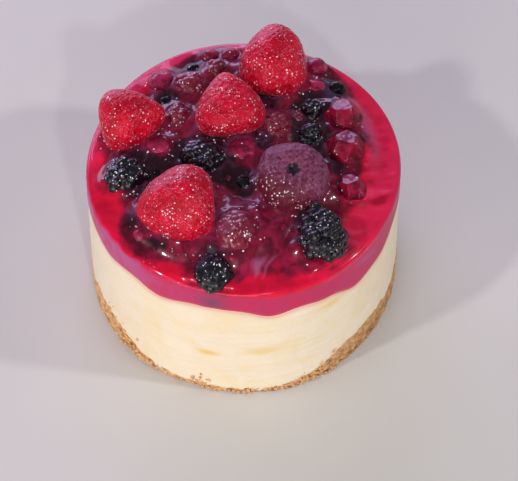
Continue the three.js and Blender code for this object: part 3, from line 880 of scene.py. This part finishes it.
def side_paint(points, angle, rise, from_hem):
    """What the jelly's side shows: how thin it is over the cream, bell curves of the height above its lower
    edge and of the distance from named places, and a painted lilac reflection where a ripple drawn out round
    the cake is high. It also gives a painted pinker sheen on the top beside the rim, at the back left and the
    right.
    rise is how far a point is up and in from the top of the wall, along the skin."""
    sink = RIM_SINK["depth"] * close_to(angle, *RIM_SINK["place"])
    on_side = 1 - smoothstep(rise + sink + 0.35 * ripple(points, 5.0, 41), 0.2, 1.8)
    streak = ripple(np.stack([angle + 0 * rise, 4.0 * rise, 0 * rise], -1), 22.0, 43)
    # a painted lilac reflection: broad at the left, in streaks at the right
    right = close_to(angle, *LILAC_RIGHT) * bell((rise + 2.5) / 3.5)
    lilac = close_to(angle, *LILAC_LEFT) + 0.7 * right * smoothstep(streak, 0.0, 0.8)
    from_image = np.linalg.norm(points - np.array(DARK_IMAGE["place"]), axis=-1)
    # a painted pinker sheen beside the rim, at the back left and the right
    back_left = smoothstep(points[..., 1] - 0.4 * points[..., 0], 5, 40) * smoothstep(rise, 9, 2)
    rosy_sheen = 0.45 * close_to(angle, *ROSY_RIGHT) * smoothstep(rise, 14, 5)
    return {
        "side": on_side,
        "dull": np.maximum(on_side, 0.9 * close_to(angle, *DULL_BACK) * smoothstep(rise, 16, 8)),
        "hem": 0.9 * bell(from_hem / 1.5),
        "edge": 0.8 * bell(from_hem / 0.45),
        "lilac": np.clip(lilac, 0, 1),
        "dark_image_and_sheen": 0.8 * bell(from_image / DARK_IMAGE["radius"]),
        "rim_sheen": np.maximum(back_left, rosy_sheen),
    }


def brushed_paint(points, angle, rise):
    """Darker and paler streaks on the top at the right: where ripples that are drawn out along one way are
    high or low."""
    drawn = np.stack([points[..., 0], points[..., 1] - 0.35 * points[..., 0], 0 * rise], -1) * BRUSH
    brushed = ripple(drawn, 6.0, 46, 15) + 0.7 * ripple(drawn, 2.4, 47, 15) + 0.4 * ripple(points, 5.0, 48)
    brushed_here = close_to(angle, *BRUSHED_RIGHT) * smoothstep(rise, 1.5, 4.0)
    return {
        "dark_streak": 0.9 * brushed_here * smoothstep(brushed, 0.3, 1.4),
        "pale_streak": 0.8 * brushed_here * smoothstep(brushed, -0.2, -1.3),
    }


def top_paint(points, angle, rise, among, packed, climbed):
    """What the jelly's top shows. Stain and ink grow with the crowd of berries, and the stain also with
    spills, each a bell curve along x and y. Painted shade lies among the berries where the jelly doesn't
    climb. The painted lilac reflection is among the berries, on what faces the lamp behind and on what
    climbs. A painted pale reflection lies in an arc. The fold's painted lilac sheen is a bell curve to its
    side, broken up by lines, a ripple drawn out along it. Painted glints lie where the jelly climbs, and in a
    row on the rim."""
    spill = sum(
        more * bell((points[..., 0] - x) / wide) * bell((points[..., 1] - y) / deep)
        for x, y, wide, deep, more in SPILLS
    )
    near_fold, along, aside = fold(points)
    aside = aside + 1.3 * ripple(points, 8.0, 49)
    lines = ripple(np.stack([0.12 * along, aside, 0 * aside], -1), 1.9, 45, 15)
    # a painted lilac reflection of the lamp behind, on what faces it and where the jelly climbs
    film = mix(smoothstep(facing(points, SHEEN_WAY), 0.5, 0.95), smoothstep(climbed, 0.3, 2.0), 0.45)
    from_mist = np.linalg.norm(points[..., :2] - np.array(MIST["place"]), axis=-1)
    from_rim = CAKE_RADIUS - np.hypot(points[..., 0], points[..., 1])
    dashes = bell((rise - 1.2) / 0.8) * close_to(angle, *RIM_DASHES)
    return {
        "stain": smoothstep(crowd(points, 5.0) + spill, 0.4, 1.7),
        "ink": smoothstep(crowd(points, 3.5, ("bramble", "black currant")) * crowd(points, 6.0), 0.6, 3.0),
        # painted shade low among the berries, where the jelly doesn't climb
        "deep": among * smoothstep(climbed, 1.6, 0.3),
        "lilac_film_sheen": np.clip(among + 0.3 * packed, 0, 1) * film,
        "arc_sheen": close_to(angle, *PALE_ARC) * bell((rise - 9.0) / 3.2),
        # a painted lilac sheen along the fold
        "fold": near_fold * bell(aside / 2.4) * mix(0.3, 1.0, smoothstep(lines, -0.5, 1.1)),
        "mist": bell(from_mist / MIST["radius"]),
        "glint_places": smoothstep(climbed, 1.0, 2.0) * smoothstep(from_rim, 2, 5) + dashes,
    }


UNSEEN_DROP = 60.0  # puts the rows that don't show well below the rim, where all is the side's colour
JELLY_OUT = 0.2  # how far the jelly stands out from the cake's side
JELLY_LIP = 0.35  # how far its lower edge is drawn in again
TOP_INSET = 1.7  # where its top begins, in from the side


def jelly_layer(material):
    """Up the side from the wavy lower edge, which a bell curve draws in, round the rim by a quarter circle,
    and in over the top to the axis."""
    angle = way_round(620)
    start = cream_top(angle) + 0.25 * ripple(round_grid(angle, CAKE_RADIUS, 0.0), 6.0, 77)
    level = np.minimum(start, CAKE_HEIGHT - JELLY_THICKNESS["inside"])
    under = round_grid(angle, UNSEEN * CAKE_RADIUS, level)
    up = np.linspace(0, 1, 22)[:, None]
    wall_z = mix(start, CAKE_HEIGHT - RIM_ROUNDING, up)
    wall = round_grid(angle, side_radius(angle, wall_z) + JELLY_OUT - JELLY_LIP * bell(9 * up), wall_z)
    side = side_radius(angle, CAKE_HEIGHT)
    bend = np.radians(np.linspace(10, 84, 8))[:, None]
    corner_radius = side + JELLY_OUT - RIM_ROUNDING * (1 - np.cos(bend))
    corner = round_grid(angle, corner_radius, CAKE_HEIGHT - RIM_ROUNDING * (1 - np.sin(bend)))
    radius = (side - TOP_INSET) * (1 - np.linspace(0, 1, 125)[:, None])
    surface, *known = jelly_top(angle, radius)
    points = np.concatenate([under, wall, corner, surface])
    known = [padded(value, len(points) - len(surface)) for value in known]

    rise = np.concatenate([
        under[..., 2] - UNSEEN_DROP,
        wall_z - CAKE_HEIGHT + RIM_ROUNDING,
        RIM_ROUNDING * bend + 0 * angle,
        RIM_ROUNDING * 1.5 + side - TOP_INSET - radius,
    ])
    from_hem = padded(points[len(under):, :, 2] - start, len(under))
    values = side_paint(points, angle, rise, from_hem)
    values |= brushed_paint(points, angle, rise)
    values |= top_paint(points, angle, rise, *known)
    made = skin("berry_jelly_layer", points, values, material)
    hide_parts("berry_jelly")


# yellow smears on the cream: the angle, the height, the half width in degrees, the half height, and the
# strength
SMEARS = [
    (-103.6, 21.7, 5, 1.6, 1.0), (-84, 24.0, 8, 2.4, 0.6), (-57, 39.5, 7, 2.5, 0.7),
    (-77, 27, 9, 3, 0.3), (-120, 26, 12, 1.6, 0.3), (-40, 24, 14, 3.0, 0.2),
]
DUSTED = -65  # crumbs dust the cream's foot round this angle


def cream_layer(material):
    """A tall band, dragged a little by the ring, whose lower edge thins out to a lip by an exponential of the
    height. Smears are bell curves round named places, and crumbs dust it near its foot."""
    angle = way_round(640)
    ring = round_grid(angle, CAKE_RADIUS, 0.0)
    low = crumb_top(angle) + 0.6 * ripple(ring, 5.0, 31) + 0.5 * ripple(ring, 2.2, 32)
    low = np.maximum(low, 0.3 + 0.25 * ripple(ring, 1.6, 36))
    high = cream_top(angle) + 0.6
    z = mix(low, high, np.linspace(0, 1, 90)[:, None])
    above = z - low
    p = round_grid(angle, CAKE_RADIUS, z)
    run = 0.2 * smoothstep(turn_from(angle, CREAM_RUN["middle"]), 50, 20)
    drag = 0.06 * ripple(p * np.array([1, 1, 5.0]), 9.0, 33) + 0.08 * ripple(p, 7.0, 34)
    lumpy = 0.14 * ripple(p, 2.2, 37) * np.exp(-above / 3.0)
    lip = 0.6 * np.exp(-above / 0.35)
    wall = round_grid(angle, side_radius(angle, z) + run + drag + lumpy - lip, z)
    under = round_grid(angle, UNSEEN * CAKE_RADIUS, np.minimum(low, CRUMB_THICKNESS) + 0.02)
    over = round_grid(angle, UNSEEN[::-1] * CAKE_RADIUS, high)
    smear = sum(
        strength * np.exp(-((turn_from(angle, at) / wide) ** 2) - ((z - height) / tall) ** 2)
        for at, height, wide, tall, strength in SMEARS
    )
    dust = mix(0.35, 1.0, smoothstep(turn_from(angle, DUSTED), 28, 8)) * np.exp(-above / 2.0)
    pink = 0.8 * np.exp(-np.maximum(cream_top(angle) - z, 0) / 0.8)
    values = {"smear": smear, "crumbed": dust, "pink": pink}
    values = {name: padded(value, len(under), len(over)) for name, value in values.items()}
    made = skin("cheese_cream_layer", np.concatenate([under, wall, over]), values, material)
    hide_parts("cheese_cream")


def crumb_layer(material):
    """A low disc. Its side is packed with grains: coarse and fine domes stand out from it and pits lie
    between."""
    angle = way_round(900)
    edge = crumb_top(angle) + 1.0
    up = np.linspace(0, 1, 56)[:, None]
    z = edge * up
    p = round_grid(angle, CAKE_RADIUS, z)
    coarse, fine = grains(p, 2.3, 5), grains(p, 1.1, 9)
    rough = 0.8 * coarse + 0.4 * fine - 0.62
    fade = smoothstep(up, 0.0, 0.05)
    wall = round_grid(angle, side_radius(angle, z) - 0.05 + rough * fade - 0.4 * (1 - fade), z)
    shares = np.array([0.0, 0.5, 0.93])[:, None]
    under = round_grid(angle, shares * CAKE_RADIUS, 0 * angle)
    over = round_grid(angle, shares[::-1] * CAKE_RADIUS, edge - 0.3)
    # high on the grains and a little towards the top, low in the pits, where the crumb's colour paints shade
    dome = 0.6 * coarse + 0.5 * fine + 0.3 * (up - 0.4)
    values = {"dome": padded(dome, len(under), len(over))}
    made = skin("crumb_base_layer", np.concatenate([under, wall, over]), values, material)
    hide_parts("crumb_base")


# clumps of loose crumbs: the angle, the height, the half width in degrees and how many
CLUMPS = [
    (-107, 4.0, 1.6, 26), (-98, 1.0, 2.5, 8), (-124, 1.6, 4, 16), (-133, 1.5, 5, 26), (-90, 0.8, 4, 10),
    (-80, 1.0, 8, 26), (-68, 2.6, 6, 40), (-146, 9.5, 4, 16), (-139, 5.0, 3, 18), (-55, 6.5, 4, 16),
]


def loose_crumbs(material):
    """Crumbs caught in the cream round the foot, in clumps. Their angles and heights are normal draws round
    each clump's own, and each crumb is a small ball with a few soft lumps."""
    draw = np.random.default_rng(4)
    places = [
        (draw.normal(at, wide, count), draw.normal(height, 0.4 * height + 0.3, count))
        for at, height, wide, count in CLUMPS
    ]
    angle, z = np.concatenate(places, axis=1)
    size = draw.uniform(0.22, 0.75, angle.size) ** 1.3
    z = np.maximum(z, 1.35 * size)
    middle = round_grid(angle, side_radius(angle, z) + 0.2 + 0.1 * size, z)[:, None, None]
    d = sphere(9, 12)
    lumps = 0.25 * ripple(d[None] + middle, 1.1, 8)
    points = middle + d * (size[:, None, None] * (1 + lumps))[..., None]
    # lighter where the lumps bulge out and darker in the dents, as painted light and shade
    made = skin("loose_crumbs", points, {"dome": 0.75 + lumps}, material)


# ------------------------------------------------------------------ floor and light

FLOOR_HALF_WIDTH = 3.0

# in metres and watts: the name, the place, the size, the power and the tint
LAMPS = [
    ("back", (-0.45, 1.25, 0.45), (1.6, 0.6), 16, "#dccaff"),
    ("fill", (-0.5, -1.45, 0.45), (1.4, 0.7), 13, "#fff6f2"),
    ("key_left", (-0.8, -0.5, 1.0), (0.07, 0.07), 4, "#ffffff"),
    ("key_front", (0.2, -1.05, 0.95), (0.06, 0.06), 3, "#ffffff"),
    ("key_right", (0.95, -0.2, 0.85), (0.07, 0.07), 4, "#ffffff"),
]
LIT = Vector((0, 0, 0.03))
SKY_COLOUR, SKY_STRENGTH = "#dcdde6", 0.27


def studio():
    """A pale floor, soft light from all sides, a cool lamp behind and a warm one in front, and three small
    ones that give the wet skins their glints."""
    material, tree = new_material("pale_floor")
    grain = lay(tree, "#cfccc8", ("#d6d3cf", cloud(tree, 60.0, 2.0)))
    shade(tree, {"Base Color": grain, "Roughness": 0.55})
    mesh = bpy.data.meshes.new("floor")
    corners = FLOOR_HALF_WIDTH * np.array([(-1, -1, 0), (1, -1, 0), (1, 1, 0), (-1, 1, 0)])
    mesh.from_pydata(corners.tolist(), [], [(0, 1, 2, 3)])
    mesh.materials.append(material)
    floor = bpy.data.objects.new("floor", mesh)
    bpy.context.scene.collection.objects.link(floor)
    world = bpy.data.worlds.new("studio")
    bpy.context.scene.world = world
    world.use_nodes = True
    sky = world.node_tree.nodes["Background"].inputs
    sky["Color"].default_value = colour(SKY_COLOUR)
    sky["Strength"].default_value = SKY_STRENGTH
    for name, place, size, power, tint in LAMPS:
        lamp(name, Vector(place), size, power, tint)
    bpy.context.scene.view_settings.view_transform = "Standard"


def lamp(name, place, size, power, tint):
    """A lamp with a flat face, turned to the cake."""
    data = bpy.data.lights.new(name, "AREA")
    data.shape = "RECTANGLE"
    data.size, data.size_y = size
    data.energy = power
    data.color = colour(tint)[:3]
    made = bpy.data.objects.new(name, data)
    bpy.context.scene.collection.objects.link(made)
    made.location = place
    made.rotation_euler = (LIT - place).to_track_quat("-Z", "Y").to_euler()


# ------------------------------------------------------------------ the scene

set_camera()
crumb = baked_crumb()
crumb_layer(crumb)
loose_crumbs(crumb)
cream_layer(set_cream())
jelly_layer(berry_jelly())
make_berries()
studio()
